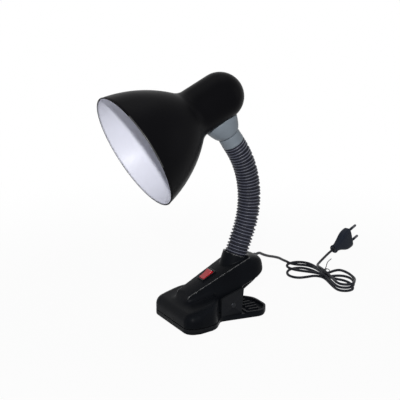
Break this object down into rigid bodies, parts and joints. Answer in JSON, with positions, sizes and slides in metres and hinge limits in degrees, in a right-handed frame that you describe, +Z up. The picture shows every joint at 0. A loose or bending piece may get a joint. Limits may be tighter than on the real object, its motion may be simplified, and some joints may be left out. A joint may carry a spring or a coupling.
{
  "type": "clip-on reading lamp",
  "caption": "Clip-on reading lamp with a bell shade on a ribbed gooseneck, a sprung clip base with rocker switch, and a corded two-pin plug.",
  "frame": {"origin": "on the underside of the clip's lower arm, straight below the pivot pin", "axes": "+Z up; -X towards the jaws; +X towards the squeeze handles; the plane y = 0 is the lamp's plane of symmetry"},
  "size_m": [0.4797, 0.2334, 0.3156],
  "materials": {
    "black_plastic": "satin moulded",
    "pad_rubber": "matte ribbed",
    "steel": "zinc plated",
    "switch_black": "gloss moulded",
    "rocker_red": "gloss moulded",
    "brass": "bright",
    "grey_plastic": "satin moulded",
    "shade_paint": "satin black outside, white inside",
    "holder_plastic": "moulded",
    "cord_rubber": "matte",
    "sleeve_plastic": "satin ribbed",
    "plug_plastic": "satin moulded",
    "nickel": "nickel plated"
  },
  "bodies": {
    "lower_arm": {"lower_arm": "black_plastic", "lower_pad": "pad_rubber", "pivot_pin": "steel", "clip_spring": "steel", "cord_lead": "cord_rubber", "cord_hank": "cord_rubber", "plug_lead": "cord_rubber", "plug_body": "plug_plastic", "plug_pins": "nickel"},
    "upper_arm": {"upper_housing": "black_plastic", "upper_pad": "pad_rubber", "bottom_cover": "black_plastic", "switch_frame": "switch_black", "switch_terminals": "brass", "cord_grommet": "cord_rubber", "base_washer": "steel", "base_nut": "steel", "conduit_01": "steel", "sleeve_01": "sleeve_plastic"},
    "rocker": {"switch_rocker": "rocker_red"},
    "neck_02": {"conduit_02": "steel", "sleeve_02": "sleeve_plastic"},
    "neck_03": {"conduit_03": "steel", "sleeve_03": "sleeve_plastic"},
    "neck_04": {"conduit_04": "steel", "sleeve_04": "sleeve_plastic"},
    "neck_05": {"conduit_05": "steel", "sleeve_05": "sleeve_plastic"},
    "neck_06": {"conduit_06": "steel", "sleeve_06": "sleeve_plastic"},
    "neck_07": {"conduit_07": "steel", "sleeve_07": "sleeve_plastic"},
    "neck_08": {"conduit_08": "steel", "sleeve_08": "sleeve_plastic"},
    "neck_09": {"conduit_09": "steel", "sleeve_09": "sleeve_plastic"},
    "neck_10": {"conduit_10": "steel", "sleeve_10": "sleeve_plastic"},
    "neck_11": {"conduit_11": "steel", "sleeve_11": "sleeve_plastic"},
    "neck_12": {"conduit_12": "steel", "sleeve_12": "sleeve_plastic", "neck_collar": "grey_plastic", "swivel_stud": "steel", "swivel_washer": "steel", "swivel_nut": "steel"},
    "head": {"shade": "shade_paint", "saddle": "grey_plastic", "lampholder_body": "holder_plastic", "threaded_shell": "brass", "contact_base": "holder_plastic", "centre_contact": "brass", "holder_bracket": "steel", "holder_nipple": "steel", "holder_nut": "steel"}
  },
  "joints": [
    {"name": "clip_open", "type": "hinge", "parent": "lower_arm", "child": "upper_arm", "pos_m": [0, 0, 0.02], "axis": [0, 1, 0], "range_deg": [0, 30], "stiffness_Nm_per_rad": 1.5, "springref_deg": -34.38, "deforming": ["clip_spring", "cord_lead"]},
    {"name": "rocker_tilt", "type": "hinge", "parent": "upper_arm", "child": "rocker", "pos_m": [-0.02432, 0, 0.05566], "axis": [0, 1, 0], "range_deg": [0, 20]},
    {"name": "pitch_01", "type": "hinge", "parent": "upper_arm", "child": "neck_02", "pos_m": [0.02186, 0, 0.09188], "axis": [0, 1, 0], "range_deg": [-7.5, 7.5]},
    {"name": "sway_02", "type": "hinge", "parent": "neck_02", "child": "neck_03", "pos_m": [0.02622, 0, 0.10386], "axis": [0.9397, 0, -0.342], "range_deg": [-7.5, 7.5]},
    {"name": "pitch_03", "type": "hinge", "parent": "neck_03", "child": "neck_04", "pos_m": [0.03058, 0, 0.11584], "axis": [0, 1, 0], "range_deg": [-7.5, 7.5]},
    {"name": "sway_04", "type": "hinge", "parent": "neck_04", "child": "neck_05", "pos_m": [0.03369, 0, 0.12821], "axis": [0.9811, 0, -0.1934], "range_deg": [-7.5, 7.5]},
    {"name": "pitch_05", "type": "hinge", "parent": "neck_05", "child": "neck_06", "pos_m": [0.03551, 0, 0.14083], "axis": [0, 1, 0], "range_deg": [-7.5, 7.5]},
    {"name": "sway_06", "type": "hinge", "parent": "neck_06", "child": "neck_07", "pos_m": [0.03602, 0, 0.15357], "axis": [0.9999, 0, 0.0113], "range_deg": [-7.5, 7.5]},
    {"name": "pitch_07", "type": "hinge", "parent": "neck_07", "child": "neck_08", "pos_m": [0.03522, 0, 0.16629], "axis": [0, 1, 0], "range_deg": [-7.5, 7.5]},
    {"name": "sway_08", "type": "hinge", "parent": "neck_08", "child": "neck_09", "pos_m": [0.03311, 0, 0.17887], "axis": [0.9765, 0, 0.2156], "range_deg": [-7.5, 7.5]},
    {"name": "pitch_09", "type": "hinge", "parent": "neck_09", "child": "neck_10", "pos_m": [0.02973, 0, 0.19116], "axis": [0, 1, 0], "range_deg": [-7.5, 7.5]},
    {"name": "sway_10", "type": "hinge", "parent": "neck_10", "child": "neck_11", "pos_m": [0.0251, 0, 0.20304], "axis": [0.9118, 0, 0.4107], "range_deg": [-7.5, 7.5]},
    {"name": "pitch_11", "type": "hinge", "parent": "neck_11", "child": "neck_12", "pos_m": [0.01927, 0, 0.21438], "axis": [0, 1, 0], "range_deg": [-7.5, 7.5]},
    {"name": "head_swivel", "type": "hinge", "parent": "neck_12", "child": "head", "pos_m": [0.00439, 0, 0.23721], "axis": [-0.5461, 0, 0.8377], "range_deg": [-150, 150]}
  ],
  "couplings": [
    {"joint": "pitch_03", "follows": "pitch_01", "ratio": 1},
    {"joint": "sway_04", "follows": "sway_02", "ratio": 1},
    {"joint": "pitch_05", "follows": "pitch_01", "ratio": 1},
    {"joint": "sway_06", "follows": "sway_02", "ratio": 1},
    {"joint": "pitch_07", "follows": "pitch_01", "ratio": 1},
    {"joint": "sway_08", "follows": "sway_02", "ratio": 1},
    {"joint": "pitch_09", "follows": "pitch_01", "ratio": 1},
    {"joint": "sway_10", "follows": "sway_02", "ratio": 1},
    {"joint": "pitch_11", "follows": "pitch_01", "ratio": 1}
  ]
}
